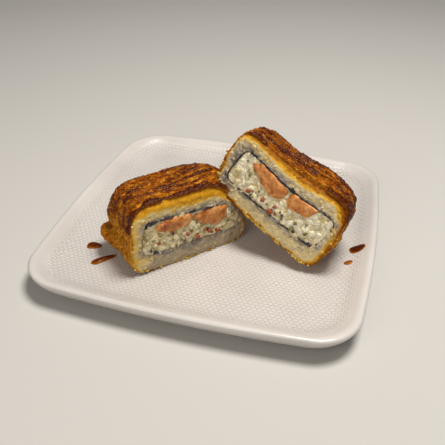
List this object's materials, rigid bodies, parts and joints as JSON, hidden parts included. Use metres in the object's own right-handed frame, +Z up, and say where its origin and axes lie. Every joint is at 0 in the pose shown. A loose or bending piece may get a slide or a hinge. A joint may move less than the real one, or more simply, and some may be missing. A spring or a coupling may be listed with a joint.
{
  "type": "sushi burger",
  "caption": "Sushi burger cut in two on a square porcelain plate: crisp crumbed rice with dark sauce strands, one half lying flat and the other leaning on it, cuts to the front",
  "frame": {"origin": "centre of the plate, on the surface that its foot stands on", "axes": "+X along the plate's front edge to the right, +Y towards its back edge, +Z up; the cuts face -Y"},
  "size_m": [0.22, 0.22, 0.0891],
  "materials": {
    "porcelain": "warm white gloss glaze over a fine woven relief",
    "fried_crust": "golden fried crumb with glossy dark sauce strands, white rice at the cut; matte_plastic stands in for food",
    "nori": "damp dark green-black seaweed; matte_plastic stands in for food",
    "cream_filling": "lumpy cream and crab mix with small diced bits; matte_plastic stands in for food",
    "salmon": "moist pink-orange salmon with pale fat lines; matte_plastic stands in for food",
    "brown_sauce": "glossy dark brown sauce; gloss_plastic stands in for food"
  },
  "bodies": {
    "root": {"plate": "porcelain", "rice_left": "fried_crust", "rice_right": "fried_crust", "nori_left": "nori", "nori_right": "nori", "filling_left": "cream_filling", "filling_right": "cream_filling", "salmon_left_1": "salmon", "salmon_left_2": "salmon", "salmon_right_1": "salmon", "salmon_right_2": "salmon", "sauce_drop_1": "brown_sauce", "sauce_drop_2": "brown_sauce", "sauce_drop_3": "brown_sauce", "sauce_drop_4": "brown_sauce"}
  },
  "joints": []
}
